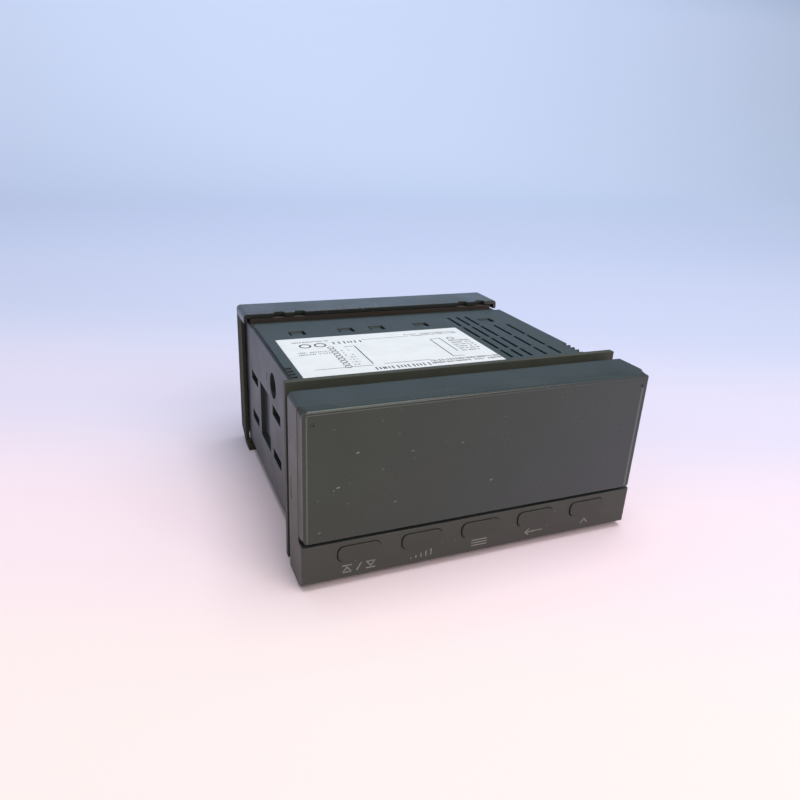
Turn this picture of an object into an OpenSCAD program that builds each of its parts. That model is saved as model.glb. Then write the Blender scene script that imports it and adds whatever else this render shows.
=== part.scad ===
// Panel-mount digital temperature meter: a drafted front bezel with a smoked display window
// and five recessed keys, a vented rear case with ratchet rails, and a sliding mounting adapter.
// Millimetres. X runs to the right seen from the front, Y to the back, Z up.
// Inside the modules Y is measured from the bezel's rear rim; the last lines centre the part on its base.

/* [Front bezel] */
// Width of the bezel at its rear rim
bezel_w = 96; // [92:0.5:110]
// Height of the bezel at its rear rim
bezel_h = 48; // [47:0.5:60]
// How far the front face stands ahead of the rear rim
bezel_d = 12; // [11.5:0.5:16]
// Radius of the bezel's top corners
bezel_r = 1.4; // [1:0.1:3]
// Radius of the bezel's bottom corners
base_r = 0.5; // [0.3:0.1:1]
// How far each side draws in from the rim to the front
side_draft = 0.1; // [0.05:0.05:0.4]
// How far the top draws in from the rim to the front
top_draft = 0.4; // [0.2:0.1:1.2]
// Rounding of the front edges
edge_r = 0.8; // [0.4:0.1:1.4]
// Height of the curved chin under the front face
chin_h = 2.4; // [1.5:0.1:2.8]
// Depth of the curved chin under the front face
chin_d = 5.5; // [3:0.25:7]
// Thickness of the wall behind the window and behind the key strip
bezel_wall = 1.4; // [1.2:0.1:1.8]
// How deep the case plugs into the bezel
socket_d = 4; // [3:0.25:4.5]

/* [Display window] */
// Height of the key strip below the window
strip_h = 12.7; // [12.4:0.1:14]
// Dark gap between the key strip and the window
window_gap = 0.45; // [0.3:0.05:0.8]
// Thickness of the window from front to back
window_t = 3.2; // [2.4:0.1:3.6]
// Corner radius of the window
window_r = 1.8; // [1:0.1:3]
// How far each side of the window draws in from the rim of the bezel
window_draft = 0.4; // [0.4:0.05:1]
// Width of the seam between the window and the bezel frame
groove_w = 0.3; // [0.2:0.05:0.8]
// Depth of the seam between the window and the bezel frame
groove_d = 0.6; // [0.4:0.1:1.4]
// Width of the display opening behind the window
aperture_w = 78; // [60:1:82]
// Height of the display opening behind the window
aperture_h = 25; // [18:0.5:27]

/* [Keys] */
// Distance of the outer key centres from the sides of the bezel
key_side = 14.4; // [13:0.1:17]
// Width of each key opening
key_w = 11.3; // [9:0.1:12]
// Height of each key opening
key_h = 4.5; // [3.5:0.1:4.8]
// Height of the key centres above the base
key_z = 9.15; // [8.9:0.05:9.3]
// Corner radius of the key openings
key_r = 1.7; // [0.6:0.1:1.7]
// Gap all round each key
key_gap = 0.12; // [0.1:0.02:0.3]
// How far the key faces lie behind the front face
key_recess = 0.45; // [0.3:0.05:0.8]
// Travel of each key
key_travel = 0.5; // [0.3:0.05:0.6]
// How far the flange behind the opening reaches past it at each end
key_flange = 0.7; // [0.5:0.1:1]
// Diameter of the stem that works the switch
stem_d = 2.2; // [1.6:0.1:2.6]

/* [Rear case] */
// How far the sides of the case lie inside the bezel's rim
case_side = 3.5; // [3:0.1:4.5]
// How far the top and bottom of the case lie inside the bezel's rim
case_inset = 1.6; // [1.5:0.05:2]
// Length of the case behind the rim
case_len = 73; // [66:0.5:76]
// Wall thickness of the case
case_wall = 2; // [1.6:0.1:2.4]
// Where the top and bottom of the case step down
step_y = 61.5; // [57:0.5:64]
// Height of that step
step_drop = 1.5; // [0.8:0.1:1.8]
// Width of the guide groove along each corner
rail_w = 0.8; // [0.7:0.05:1]
// Depth of the guide groove along each corner
rail_drop = 1; // [0.8:0.05:1.3]
// Where the guide grooves begin behind the rim
rail_y = 6.2; // [6:0.1:8]
// Number of ratchet teeth on each rail
tooth_n = 5; // [3:1:6]
// Distance from tooth to tooth
tooth_pitch = 2.2; // [1.8:0.1:2.4]
// Depth of the ratchet teeth
tooth_d = 0.8; // [0.5:0.05:1]
// Width of the ratchet teeth
tooth_w = 1.5; // [1:0.1:2]
// Where the first tooth begins behind the rim
tooth_y = 10; // [9:0.25:11]

/* [Vents and pockets] */
// Width of the vent slots
vent_w = 0.9; // [0.6:0.1:1.2]
// Distance of the last vent row from the side of the case
vent_side = 8.2; // [6:0.1:9]
// Spacing of the three close vent rows
vent_close = 3.25; // [2.6:0.05:3.4]
// Spacing of the two wide vent rows
vent_wide = 4.85; // [4:0.05:5]
// Where the vent rows begin behind the rim
vent_y = 13; // [11:0.5:14]
// Bridge between the slots of one vent row
vent_bridge = 1.2; // [0.8:0.1:1.6]
// Length of the side slots
slot_l = 9.8; // [8:0.1:11]
// Height of the side slots
slot_h = 3; // [2:0.1:3.4]
// Length of the tall recess in each side
recess_l = 13.5; // [10:0.5:15]
// Height of the tall recess in each side
recess_h = 17.8; // [14:0.2:19]
// Depth of the tall recess in each side
recess_d = 1.5; // [0.6:0.1:1.5]
// Diameter of the round opening in each side
port_d = 7.4; // [5:0.1:8]
// Width of the latch tongues
tongue_w = 4.9; // [4:0.1:6]
// Length of the latch tongues
tongue_l = 4.2; // [3:0.1:5]

/* [Gasket and label] */
// How far the sides of the gasket lie inside the bezel's rim
gasket_inset = 0.3; // [0:0.05:1]
// How far the gasket stands above the bezel's rim
gasket_rise = 0.9; // [0:0.05:1.2]
// Thickness of the panel gasket
gasket_t = 1.8; // [1.2:0.1:2.2]
// Where the gasket sits behind the rim
gasket_y = 3.6; // [0:0.1:4]
// Length of the label across the top
label_w = 58.2; // [50:0.2:60]
// Width of the label from front to back
label_l = 32.5; // [28:0.5:36]

/* [Mounting adapter] */
// How far the adapter's front edge reaches over the rear of the case
adapter_lap = 5; // [3:0.25:7]
// Depth of the adapter's top wall
adapter_d = 13; // [12:0.5:16]
// Gap between the adapter and the case
adapter_gap = 0.25; // [0.2:0.05:0.4]
// Thickness of the adapter's side bars
bar_t = 1.15; // [1:0.05:2]
// Depth of the adapter's side bars
bar_d = 8; // [3:0.25:8.5]
// Height of the adapter's side flanges
flank_h = 3; // [2:0.1:5]
// Radius of the adapter's top corners
adapter_r = 1.3; // [0.6:0.1:1.6]
// Depth of the adapter's bottom wall
foot_d = 5.5; // [5:0.25:7]
// Rise of the slanting struts from the bottom wall to the rear
strut_rise = 4.2; // [3:0.1:6]
// Width of the finger notches in the top wall
notch_w = 3.4; // [3:0.1:5]

/* [Terminals] */
// Terminals in each row
term_n = 8; // [6:1:8]
// Distance from terminal to terminal
term_pitch = 10.2; // [9.4:0.1:10.4]
// Distance between the two rows of screws
term_row_d = 22; // [18:0.5:24]
// Depth of the terminal block
term_d = 7; // [6.5:0.25:8]
// Height of the walls between the terminals
term_wall_h = 3.5; // [2.8:0.1:3.8]
// Thickness of the walls between the terminals
term_wall_t = 1.2; // [0.8:0.1:1.6]
// Diameter of the terminal screw shanks
screw_d = 3; // [2.5:0.1:3.2]

/* [Hidden] */
$fn = 48;

// Overshoot of cutting tools
over = 1;
// Clearance of pieces that plug into each other
fit = 0.05;
// Thickness of the boards
board_t = 1.6;
// Thickness of the label
label_t = 0.1;

front_y = -bezel_d;
mid_z = bezel_h/2;
// Chin: part of an ellipse that leaves the front face at an angle
chin_turn = 25;
chin_ry = chin_d/cos(chin_turn);
chin_rz = chin_h/(1 - sin(chin_turn));
// Strip inner wall
strip_wall = 2;
// Window, its seat and the frame behind the groove
window_y = front_y + window_t;
frame_y = window_y + groove_w;
seat_y = window_y + bezel_wall;
window_z = strip_h + window_gap;
window_top = bezel_h - top_draft;
window_w = bezel_w - 2*window_draft;
aperture_z = (window_z + window_top)/2;
// Display board stands against the front end of the case
board_y = -socket_d;
board_front = board_y - board_t;
// Case
case_w = bezel_w - 2*case_side;
case_h = bezel_h - 2*case_inset;
case_top = mid_z + case_h/2;
case_bot = mid_z - case_h/2;
rail_x = case_w/2 - rail_w;
rear_h = case_h - 2*step_drop;
inner_w = case_w - 2*case_wall;
inner_h = case_h - 2*case_wall;
inner_rear_h = rear_h - 2*case_wall;
lap = 0.5;
board_w = inner_w + 2*lap;
board_h = inner_h + 2*lap;
// Vents: three close rows, two wide rows, slots between bridges
vent_far = case_w/2 - vent_side;
vent_mid = vent_far - 2*vent_wide;
vent_xs = [
  vent_mid - 2*vent_close, vent_mid - vent_close, vent_mid,
  vent_far - vent_wide, vent_far];
vent_slots = [4, 4, 4, 3, 3];
vent_lengths = [7, 10.2, 11.4, 10.4];
// Side openings, from the middle of the tall recess
recess_y = 44.4;
slot_span = 15.4;
slot_up = 5.3;
slot_down = -8.4;
recess_down = 1.4;
recess_z = mid_z - recess_down;
port_y = 32.6;
port_down = 9.5;
port_z = case_top - port_down;
// Small slit beside the round opening
mark_step = 7.8;
mark_y = port_y + mark_step;
mark_l = 0.7;
mark_h = 2.2;
// Latch tongues along the rear of the top and bottom, sunk a little and freed by a slit at each side
tongue_shares = [-0.372, -0.199, -0.085, 0.086, 0.355];
tongue_step = 13.8;
tongue_y = step_y - tongue_step;
tongue_sink = 0.4;
tongue_slit = 0.7;
// Latch slits in the sides of the bezel
slit_y = -2.3;
slit_l = 0.5;
slit_h = 6.2;
slit_d = 1.1;
// Moulding dimples in the upper corners of the window
dot_d = 0.9;
dot_deep = 0.25;
dot_side = 2.3;
dot_down = 3.2;
dot_x = window_w/2 - dot_side;
dot_z = window_top - dot_down;
// Panel gasket
gasket_w = bezel_w - 2*gasket_inset;
gasket_h = bezel_h + gasket_rise;
gasket_r = 0.3;
// Label, near the left side of the case
label_side = 3.4;
label_x = label_side - case_w/2;
label_y = 11.3;
// Keys, spread evenly between the outer two
key_n = 5;
key_pitch = (bezel_w - 2*key_side)/(key_n - 1);
key_back = front_y + strip_wall;
flange_t = 0.8;
flange_gap = 0.1;
flange_h = key_h + 0.6;
key_ledge = 0.7;
switch_w = 6;
switch_h = 5;
switch_t = 2.3;
switch_gap = 0.3;
switch_front = board_front - switch_t;
stem_end = switch_front + 1.2;
// Display panel
lcd_gap = 0.3;
// Upright boards and the larger pieces on them
board_side = 12.5;
board_x = inner_w/2 - board_side;
board_gap = 1;
core_w = 20;
core_l = 24;
core_h = 22;
core_y = 38;
bobbin_w = 13;
bobbin_l = 31;
bobbin_h = 16;
relay_ys = [46, 60];
relay_w = 15;
relay_l = 10;
relay_h = 18;
can_d = 12;
can_l = 16;
can_y = 12;
can_z = 9;
// Adapter, whose bottom wall lies level with the bezel's base
adapter_t = case_inset - adapter_gap;
adapter_y = case_len - adapter_lap;
wall_under = case_top + adapter_gap;
wall_top = wall_under + adapter_t;
floor_over = case_bot - adapter_gap;
floor_under = floor_over - adapter_t;
bar_in = case_w/2 + adapter_gap;
bar_out = bar_in + bar_t;
adapter_rear = adapter_y + adapter_d;
lug_step = 3;
lug_y = adapter_y + lug_step;
lug_d = 2.4;
lug_in = rail_x + adapter_gap;
lug_out = bar_in + bar_t/2;
lug_root = adapter_t/2;
lug_h = rail_drop - adapter_gap;
flank_z = wall_top - flank_h;
strut_foot = 1;
strut_nose = 0.4;
notch_shares = [-0.75, -0.6, 0.7, 0.855];
notch_d = 1.6;
notch_r = 1.4;
// Terminal block
term_back = case_len + term_d;
term_floor = term_back - term_wall_h;
term_inset = 0.3;
term_w = case_w - 2*term_inset;
term_h = rear_h - 2*term_inset;
// Collar of the terminal block over the stepped rear of the case
collar_gap = 0.3;
collar_y = adapter_y + collar_gap;
collar_w = 2*(lug_in - collar_gap);
plate_t = 1;
plate_gap = 0.5;
term_cell = term_pitch - term_wall_t;
plate_s = term_cell - 2*plate_gap;
term_field = 8.6;
head_d = 5.6;
head_h = 1.9;
shank_l = 4.5;
bore_gap = 0.1;
tip_gap = 0.5;
// Depth and middle of the whole part
rear_y = max(adapter_rear, term_back);
mid_y = (rear_y + front_y)/2;

// Points of a round stretch from angle a0 to a1, with radii rx and ry
function arc(cx, cy, rx, ry, a0, a1, n = 8) =
  [for (i = [0:n]) let (a = a0 + (a1 - a0)*i/n) [cx + rx*cos(a), cy + ry*sin(a)]];

// Outline of a rounded rectangle about its middle
function rounded(w, h, r) = concat(
  arc(w/2 - r, h/2 - r, r, r, 0, 90),
  arc(r - w/2, h/2 - r, r, r, 90, 180),
  arc(r - w/2, r - h/2, r, r, 180, 270),
  arc(w/2 - r, r - h/2, r, r, 270, 360));

// Draw-in of a moulded side at depth y ahead of the rim
function drawn(total, y) = total*pow(y/front_y, 2);

// Outline across X and Z of the bezel, with other corners at the base than at the top
function face_outline() = concat(
  arc(bezel_w/2 - bezel_r, bezel_h - bezel_r, bezel_r, bezel_r, 0, 90),
  arc(bezel_r - bezel_w/2, bezel_h - bezel_r, bezel_r, bezel_r, 90, 180),
  arc(base_r - bezel_w/2, base_r, base_r, base_r, 180, 270),
  arc(bezel_w/2 - base_r, base_r, base_r, base_r, 270, 360));

// Outline across Y and Z of the bezel: bowed top, rounded front edge, chin that turns back from a crease
function side_outline() = concat(
  [[0, 0], [0, bezel_h]],
  [for (i = [1:4]) let (y = (front_y + edge_r)*i/4) [y, bezel_h - drawn(top_draft, y)]],
  arc(front_y + edge_r, window_top - edge_r, edge_r, edge_r, 90, 180, 6),
  arc(front_y + chin_d, chin_rz, chin_ry, chin_rz, 180 + chin_turn, 270));

// Outline across X and Y of the bezel: bowed sides and rounded front edges
function plan_half(draft) = concat(
  [for (i = [0:4]) let (y = (front_y + edge_r)*i/4) [bezel_w/2 - drawn(draft, y), y]],
  arc(bezel_w/2 - draft - edge_r, front_y + edge_r, edge_r, edge_r, 0, -90, 6));

function plan_outline(draft) = let (half = plan_half(draft)) concat(
  half,
  [for (i = [len(half) - 1:-1:0]) [-half[i][0], half[i][1]]]);

// Extrusions of a flat outline along each axis
module along_x(x0, x1) {
  translate([x0, 0, 0])
    rotate([90, 0, 90])
      linear_extrude(x1 - x0)
        children();
}

module along_y(y0, y1) {
  translate([0, y1, 0])
    rotate([90, 0, 0])
      linear_extrude(y1 - y0)
        children();
}

module along_z(z0, z1) {
  translate([0, 0, z0])
    linear_extrude(z1 - z0)
      children();
}

// Box between two corners
module block(low, high) {
  translate(low)
    cube(high - low);
}

// Box centred in X and Z about the middle height, between two depths
module slab(w, h, y0, y1) {
  block([-w/2, y0, mid_z - h/2], [w/2, y1, mid_z + h/2]);
}

// Rounded block between two depths about a point in X and Z
module pad(x, z, w, h, r, y0, y1) {
  along_y(y0, y1)
    translate([x, z])
      polygon(rounded(w, h, r));
}

// Cylinder along Y between two depths
module rod(x, z, d, y0, y1) {
  translate([x, y0, z])
    rotate([-90, 0, 0])
      cylinder(d = d, h = y1 - y0);
}

// The same thing on both sides of the middle plane
module both_sides() {
  children();
  mirror([1, 0, 0])
    children();
}

// The same thing at the top and the bottom of the case
module top_and_bottom() {
  children();
  translate([0, 0, 2*mid_z])
    mirror([0, 0, 1])
      children();
}

// Outer form of the bezel, or of the window with its own draft
module bezel_form(draft) {
  intersection() {
    along_y(front_y, 0)
      polygon(face_outline());
    along_x(-bezel_w, bezel_w)
      polygon(side_outline());
    along_z(-over, bezel_h + over)
      polygon(plan_outline(draft));
  }
}

function key_x(i) = (i - (key_n - 1)/2)*key_pitch;

module front_bezel() {
  color([0.16, 0.17, 0.18])
    difference() {
      bezel_form(side_draft);
      // Room for the window and the seam behind its edge
      block([-bezel_w, front_y - over, strip_h], [bezel_w, window_y, bezel_h + over]);
      difference() {
        block([-bezel_w, window_y - over, strip_h], [bezel_w, frame_y, bezel_h + over]);
        block([groove_d - window_w/2, window_y - 2*over, 0],
              [window_w/2 - groove_d, frame_y + over, window_top - groove_d]);
      }
      // Display opening, board space, key space and socket for the case
      pad(0, aperture_z, aperture_w, aperture_h, 1, window_y - over, seat_y + over);
      slab(board_w + 2*fit, board_h + 2*fit, seat_y, over);
      block([-board_w/2 - fit, key_back, chin_h + 1], [board_w/2 + fit, seat_y + over, strip_h - key_ledge]);
      slab(case_w + 2*fit, case_h + 2*fit, board_y, over);
      for (i = [0:key_n - 1])
        pad(key_x(i), key_z, key_w, key_h, key_r, front_y - over, key_back + over);
      // Latch slits in the sides
      both_sides()
        block([bezel_w/2 - slit_d, slit_y - slit_l/2, mid_z - slit_h/2],
              [bezel_w, slit_y + slit_l/2, mid_z + slit_h/2]);
    }
}

module display_window() {
  color([0.2, 0.2, 0.2])
    difference() {
      intersection() {
        bezel_form(window_draft);
        along_y(front_y, window_y)
          translate([0, aperture_z])
            polygon(rounded(window_w, window_top - window_z, window_r));
        along_x(-bezel_w, bezel_w)
          polygon(concat(
            [[window_y, window_z], [window_y, bezel_h], [front_y, bezel_h]],
            arc(front_y + edge_r, window_z + edge_r, edge_r, edge_r, 180, 270, 6)));
      }
      // Small moulding dimples in the upper corners
      both_sides()
        rod(dot_x, dot_z, dot_d, front_y - over, front_y + dot_deep);
    }
}

// Key cap with a retaining flange behind the opening and a stem for the switch
module key(i) {
  color([0.15, 0.15, 0.15]) {
    pad(key_x(i), key_z, key_w - 2*key_gap, key_h - 2*key_gap, key_r - key_gap,
        front_y + key_recess, key_back + flange_gap + flange_t/2);
    pad(key_x(i), key_z, key_w + 2*key_flange, flange_h, key_r,
        key_back + flange_gap, key_back + flange_gap + flange_t);
    rod(key_x(i), key_z, stem_d, key_back + flange_gap + flange_t/2, stem_end);
  }
}

module max_min_key() {
  key(0);
}

module level_key() {
  key(1);
}

module mode_key() {
  key(2);
}

module shift_key() {
  key(3);
}

module up_key() {
  key(4);
}

// Switch bodies on the display board, each bored for its key stem
module key_switches() {
  color([0.1, 0.1, 0.1])
    for (i = [0:key_n - 1])
      difference() {
        pad(key_x(i), key_z, switch_w, switch_h, 0.4, switch_front, board_front);
        rod(key_x(i), key_z, stem_d + 2*switch_gap, switch_front - over, stem_end + key_travel + switch_gap);
      }
}

module lcd_panel() {
  color([0.22, 0.24, 0.22])
    pad(0, aperture_z, aperture_w - 2*lcd_gap, aperture_h - 2*lcd_gap, 0.8, window_y + lcd_gap, board_front);
}

module display_board() {
  color([0.1, 0.3, 0.18])
    slab(board_w, board_h, board_front, board_y);
}

// Rubber ring pushed over the case, a little behind the rim
module panel_gasket() {
  color([0.13, 0.12, 0.11])
    difference() {
      along_y(gasket_y, gasket_y + gasket_t)
        translate([0, gasket_h/2])
          polygon(rounded(gasket_w, gasket_h, gasket_r));
      slab(case_w, case_h, gasket_y - over, gasket_y + gasket_t + over);
    }
}

// Sawtooth notches on one rail: a slope towards the rear, a steep face towards the front
module ratchet() {
  for (i = [0:tooth_n - 1])
    let (y = tooth_y + i*tooth_pitch)
      along_x(rail_x - tooth_w, rail_x + over)
        polygon([
          [y, case_top + over], [y, case_top], [y + 0.75*tooth_pitch, case_top - tooth_d],
          [y + 0.75*tooth_pitch, case_top + over]]);
}

// Where slot k of a vent row begins
function vent_start(k) = k == 0 ? vent_y : vent_start(k - 1) + vent_lengths[k - 1] + vent_bridge;

// Slots of one vent row, cut from the top
module vent_row(x, slots) {
  for (k = [0:slots - 1])
    block([x - vent_w/2, vent_start(k), case_top - case_wall - over],
          [x + vent_w/2, vent_start(k) + vent_lengths[k], case_top + over]);
}

// Openings of one side: four slots, a tall recess, a round opening and a small slit
module side_openings() {
  out = case_w/2 + over;
  for (y = [-slot_span, slot_span], z = [slot_down, slot_up])
    translate([0, recess_y + y, mid_z + z])
      block([case_w/2 - case_wall - over, -slot_l/2, -slot_h/2], [out, slot_l/2, slot_h/2]);
  translate([0, recess_y, recess_z])
    block([case_w/2 - recess_d, -recess_l/2, -recess_h/2], [out, recess_l/2, recess_h/2]);
  translate([case_w/2 - case_wall - over, port_y, port_z])
    rotate([0, 90, 0])
      cylinder(d = port_d, h = case_wall + 2*over);
  block([case_w/2 - recess_d, mark_y, port_z - mark_h/2], [out, mark_y + mark_l, port_z + mark_h/2]);
}

// Cuts that leave one latch tongue, hinged at the front and the rear
module latch_tongue(x) {
  block([x - tongue_w/2, tongue_y, case_top - tongue_sink], [x + tongue_w/2, tongue_y + tongue_l, case_top + over]);
  for (s = [-1, 1])
    translate([x + s*(tongue_w - tongue_slit)/2, 0, 0])
      block([-tongue_slit/2, tongue_y, case_top - case_wall - over],
            [tongue_slit/2, tongue_y + tongue_l, case_top + over]);
}

module rear_case() {
  color([0.17, 0.18, 0.19])
    difference() {
      union() {
        slab(case_w, case_h, board_y, step_y);
        slab(case_w, rear_h, step_y - over, case_len);
      }
      // Hollow inside, open at both ends
      slab(inner_w, inner_h, board_y - over, step_y - case_wall);
      slab(inner_w, inner_rear_h, step_y - case_wall - over, case_len + over);
      top_and_bottom() {
        both_sides() {
          block([rail_x, rail_y, case_top - rail_drop], [case_w, step_y + over, case_top + over]);
          ratchet();
        }
        for (r = [0:len(vent_xs) - 1])
          vent_row(vent_xs[r], vent_slots[r]);
        for (x = tongue_shares*case_w)
          latch_tongue(x);
      }
      both_sides()
        side_openings();
    }
}

module top_label() {
  color([0.92, 0.93, 0.95])
    block([label_x, label_y, case_top], [label_x + label_w, label_y + label_l, case_top + label_t]);
}

// Upright boards between the display board and the terminal block
module upright_board(x) {
  color([0.1, 0.3, 0.18])
    block([x - board_t/2, board_y, mid_z - inner_rear_h/2 + board_gap],
          [x + board_t/2, case_len, mid_z + inner_rear_h/2 - board_gap]);
}

module main_board() {
  upright_board(-board_x);
}

module power_board() {
  upright_board(board_x);
}

// Laminated core round a bobbin, on the power board
module transformer() {
  face = board_x - board_t/2;
  color([0.35, 0.33, 0.3]) {
    block([face - core_w, core_y - core_l/2, mid_z - core_h/2], [face, core_y + core_l/2, mid_z + core_h/2]);
    block([face - (core_w + bobbin_w)/2, core_y - bobbin_l/2, mid_z - bobbin_h/2],
          [face - (core_w - bobbin_w)/2, core_y + bobbin_l/2, mid_z + bobbin_h/2]);
  }
}

module relays() {
  face = board_t/2 - board_x;
  color([0.12, 0.14, 0.2])
    for (y = relay_ys)
      block([face, y - relay_l/2, mid_z - relay_h/2], [face + relay_w, y + relay_l/2, mid_z + relay_h/2]);
}

module capacitors() {
  face = board_x - board_t/2;
  color([0.12, 0.14, 0.22])
    for (z = [-can_z, can_z])
      translate([face - can_l, can_y, mid_z + z])
        rotate([0, 90, 0])
          cylinder(d = can_d, h = can_l);
}

// Middle of terminal i along a row
function term_x(i) = (i - (term_n - 1)/2)*term_pitch;

// Calls its children at the centre of each terminal
module each_terminal() {
  for (i = [0:term_n - 1], s = [-1, 1])
    translate([term_x(i), 0, mid_z + s*term_row_d/2])
      children();
}

module terminal_block() {
  color([0.12, 0.12, 0.12])
    difference() {
      union() {
        slab(term_w, term_h, case_len, term_back);
        // Collar that laps over the top and the bottom of the case
        top_and_bottom() {
          block([-collar_w/2, collar_y, mid_z + rear_h/2], [collar_w/2, term_floor, case_top]);
          block([-collar_w/2, case_len, mid_z + rear_h/2 - over], [collar_w/2, term_floor, case_top]);
        }
      }
      // Cells open to the rear
      each_terminal() {
        block([-term_cell/2, term_floor, -term_field], [term_cell/2, term_back + over, term_field]);
        rod(0, 0, screw_d + 2*bore_gap, term_floor + plate_t - shank_l - tip_gap, term_back + over);
      }
    }
}

module terminal_plates() {
  color([0.7, 0.66, 0.5])
    each_terminal()
      difference() {
        block([-plate_s/2, term_floor, -plate_s/2], [plate_s/2, term_floor + plate_t, plate_s/2]);
        rod(0, 0, screw_d + 2*bore_gap, term_floor - over, term_floor + plate_t + over);
      }
}

module terminal_screws() {
  seat = term_floor + plate_t;
  color([0.72, 0.72, 0.7])
    each_terminal() {
      rod(0, 0, head_d, seat, seat + head_h);
      rod(0, 0, screw_d, seat - shank_l, seat + head_h/2);
    }
}

// Side bar with the strut that carries the bottom wall
module adapter_side() {
  along_x(bar_in, bar_out)
    polygon([
      [adapter_rear - bar_d, flank_z + flank_h/2], [adapter_rear, flank_z + flank_h/2],
      [adapter_rear, floor_under + strut_rise], [adapter_y + foot_d - strut_foot, floor_under],
      [adapter_y, floor_under], [adapter_y, floor_over],
      [adapter_y + foot_d - strut_foot, floor_over + strut_nose],
      [adapter_rear - bar_d, floor_over + strut_rise]]);
}

// Frame that slides forward over the case and clamps a panel
module mounting_adapter() {
  color([0.15, 0.16, 0.17]) {
    difference() {
      // Top wall with a flange down each side
      along_y(adapter_y, adapter_rear)
        polygon(concat(
          arc(bar_out - adapter_r, wall_top - adapter_r, adapter_r, adapter_r, 0, 90, 6),
          arc(adapter_r - bar_out, wall_top - adapter_r, adapter_r, adapter_r, 90, 180, 6),
          [[-bar_out, flank_z], [-bar_in, flank_z], [-bar_in, wall_under],
           [bar_in, wall_under], [bar_in, flank_z], [bar_out, flank_z]]));
      // Finger notches in the front edge
      for (x = notch_shares*bar_out)
        translate([x, adapter_y, 0])
          along_z(wall_under - over, wall_top + over)
            polygon(concat(
              [[-notch_w/2, -over], [notch_w/2, -over]],
              arc(notch_w/2 - notch_r, notch_d - notch_r, notch_r, notch_r, 0, 90, 6),
              arc(notch_r - notch_w/2, notch_d - notch_r, notch_r, notch_r, 90, 180, 6)));
    }
    block([-bar_out, adapter_y, floor_under], [bar_out, adapter_y + foot_d, floor_over]);
    both_sides() {
      adapter_side();
      // Lugs that run in the corner grooves of the case
      for (low = [wall_under - lug_h, floor_over - lug_root])
        block([lug_in, lug_y, low], [lug_out, lug_y + lug_d, low + lug_h + lug_root]);
    }
  }
}

// Puts the part's middle over the origin, front towards -Y
module centred() {
  translate([0, -mid_y, 0])
    children();
}

centred() front_bezel();
centred() display_window();
centred() max_min_key();
centred() level_key();
centred() mode_key();
centred() shift_key();
centred() up_key();
centred() key_switches();
centred() lcd_panel();
centred() display_board();
centred() panel_gasket();
centred() rear_case();
centred() top_label();
centred() main_board();
centred() power_board();
centred() transformer();
centred() relays();
centred() capacitors();
centred() terminal_block();
centred() terminal_plates();
centred() terminal_screws();
centred() mounting_adapter();
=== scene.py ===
# %% [markdown]
# A panel-mount temperature meter, dressed for a picture.
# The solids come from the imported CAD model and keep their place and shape.
# This lesson gives them real finishes and softened edges, adds the printed marks, the bead and the glue
# of the window, the caps of the keys and the terminal screws, and then sets up floor, light and camera.

# %% Load the frame
import math

import bmesh
import bpy
from mathutils import Matrix, Vector


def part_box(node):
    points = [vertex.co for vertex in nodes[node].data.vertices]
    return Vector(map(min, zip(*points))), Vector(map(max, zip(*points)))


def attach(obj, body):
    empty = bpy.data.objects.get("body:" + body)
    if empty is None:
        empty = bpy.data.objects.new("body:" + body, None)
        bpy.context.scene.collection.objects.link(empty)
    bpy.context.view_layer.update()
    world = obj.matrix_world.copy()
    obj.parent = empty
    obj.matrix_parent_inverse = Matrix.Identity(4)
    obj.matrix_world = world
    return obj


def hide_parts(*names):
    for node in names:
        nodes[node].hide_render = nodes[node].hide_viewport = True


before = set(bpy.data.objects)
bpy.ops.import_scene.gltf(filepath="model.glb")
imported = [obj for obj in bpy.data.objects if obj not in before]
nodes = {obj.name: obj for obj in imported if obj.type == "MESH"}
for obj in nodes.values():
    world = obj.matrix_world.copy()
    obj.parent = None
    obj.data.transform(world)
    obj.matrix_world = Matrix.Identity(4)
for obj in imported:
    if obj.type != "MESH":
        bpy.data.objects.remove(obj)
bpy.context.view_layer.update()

MM = 0.001

# %% [markdown]
# Three small helpers carry every finish below.
# Colours are written as hex values, as in a paint chart, and Blender's shaders work
# in linear light, so one function converts them.
# Another adds a node to any tree: a value goes into the input, and a socket is linked to it.
# The third makes an empty material, ready for its nodes.

# %% Helpers for colours and nodes
def linear(hex_colour):
    """Linear RGBA of an sRGB colour such as #33363a."""
    parts = [int(hex_colour[i:i + 2], 16) / 255 for i in (1, 3, 5)]
    return [c / 12.92 if c <= 0.04045 else ((c + 0.055) / 1.055) ** 2.4 for c in parts] + [1.0]


def add(tree, kind, values=None, **settings):
    """One node of a kind, with its settings, and its inputs set or linked by name or number."""
    made = tree.nodes.new(kind)
    for name, value in settings.items():
        setattr(made, name, value)
    for name, value in (values or {}).items():
        if isinstance(value, bpy.types.NodeSocket):
            tree.links.new(value, made.inputs[name])
        else:
            made.inputs[name].default_value = value
    return made


def new_material(name):
    """An empty material and its tree."""
    material = bpy.data.materials.new(name)
    material.use_nodes = True
    material.node_tree.nodes.clear()
    return material, material.node_tree


print("mid grey in linear light:", [round(c, 3) for c in linear("#808080")])

# %% [markdown]
# The bezel, the case and the adapter are injection moulded, and they have been handled.
# A little dust lies on the faces that look up, with specks of lint in it.
# On the bezel it is pale blue, so it also paints a cool sheen of reflected light on the top.
# It could be painted on, but a pattern in the material follows any shape.
# The upward part of the normal lets dust settle, and the hearts of a few Voronoi cells make the lint.

# %% Dust on a moulding, and the bezel's painted sheen
# Width of a cell that may hold a speck of lint, in mm.
LINT_MM = 1.8
LINT_GREY = "#8f9391"


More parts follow.
